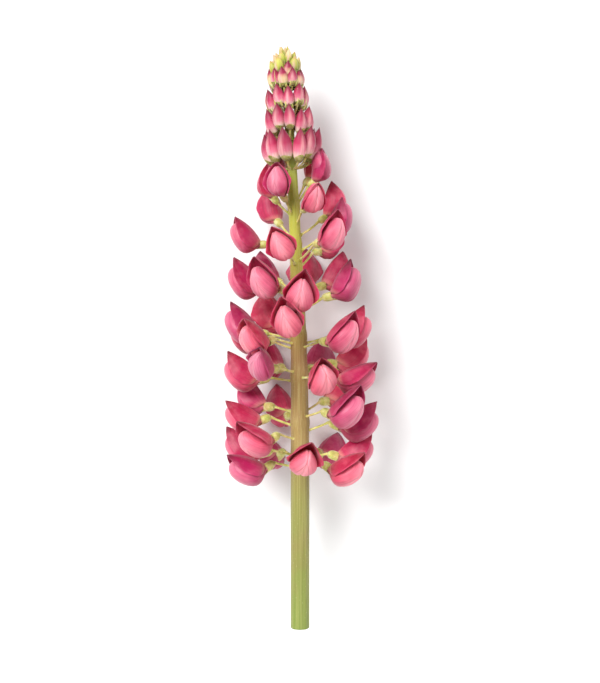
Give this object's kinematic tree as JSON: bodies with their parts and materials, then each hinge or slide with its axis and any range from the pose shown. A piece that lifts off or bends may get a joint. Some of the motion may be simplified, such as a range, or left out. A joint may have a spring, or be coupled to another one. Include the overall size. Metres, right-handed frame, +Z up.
{
  "type": "lupin flower spike",
  "caption": "Picked lupin flower spike lying on its side, with whorls of open pink blooms on thin stalks, pink buds above them and green buds at the tip.",
  "frame": {"origin": "on the surface it lies on, under the middle of the spike's bounding box", "axes": "+Y from the cut end to the tip, +X to the right, +Z up, away from the surface"},
  "size_m": [0.0819, 0.3101, 0.0779],
  "materials": {
    "stem": "satin",
    "petals": "matte",
    "buds": "matte"
  },
  "bodies": {
    "root": {"bloom_1_1": "petals", "bloom_1_2": "petals", "bloom_1_3": "petals", "bloom_1_4": "petals", "bloom_1_5": "petals", "bloom_1_6": "petals", "bloom_1_7": "petals", "bloom_2_1": "petals", "bloom_2_2": "petals", "bloom_2_3": "petals", "bloom_2_4": "petals", "bloom_2_5": "petals", "bloom_2_6": "petals", "bloom_2_7": "petals", "bloom_3_1": "petals", "bloom_3_2": "petals", "bloom_3_3": "petals", "bloom_3_4": "petals", "bloom_3_5": "petals", "bloom_3_6": "petals", "bloom_3_7": "petals", "bloom_4_1": "petals", "bloom_4_2": "petals", "bloom_4_3": "petals", "bloom_4_4": "petals", "bloom_4_5": "petals", "bloom_4_6": "petals", "bloom_4_7": "petals", "bloom_5_1": "petals", "bloom_5_2": "petals", "bloom_5_3": "petals", "bloom_5_4": "petals", "bloom_5_5": "petals", "bloom_5_6": "petals", "bloom_5_7": "petals", "bloom_6_1": "petals", "bloom_6_2": "petals", "bloom_6_3": "petals", "bloom_6_4": "petals", "bloom_6_5": "petals", "bloom_6_6": "petals", "bloom_6_7": "petals", "bloom_7_1": "petals", "bloom_7_2": "petals", "bloom_7_3": "petals", "bloom_7_4": "petals", "bloom_7_5": "petals", "bloom_7_6": "petals", "bud_whorl_1": "buds", "bud_whorl_2": "buds", "bud_whorl_3": "buds", "bud_whorl_4": "buds", "flower_stem": "stem"}
  },
  "joints": []
}
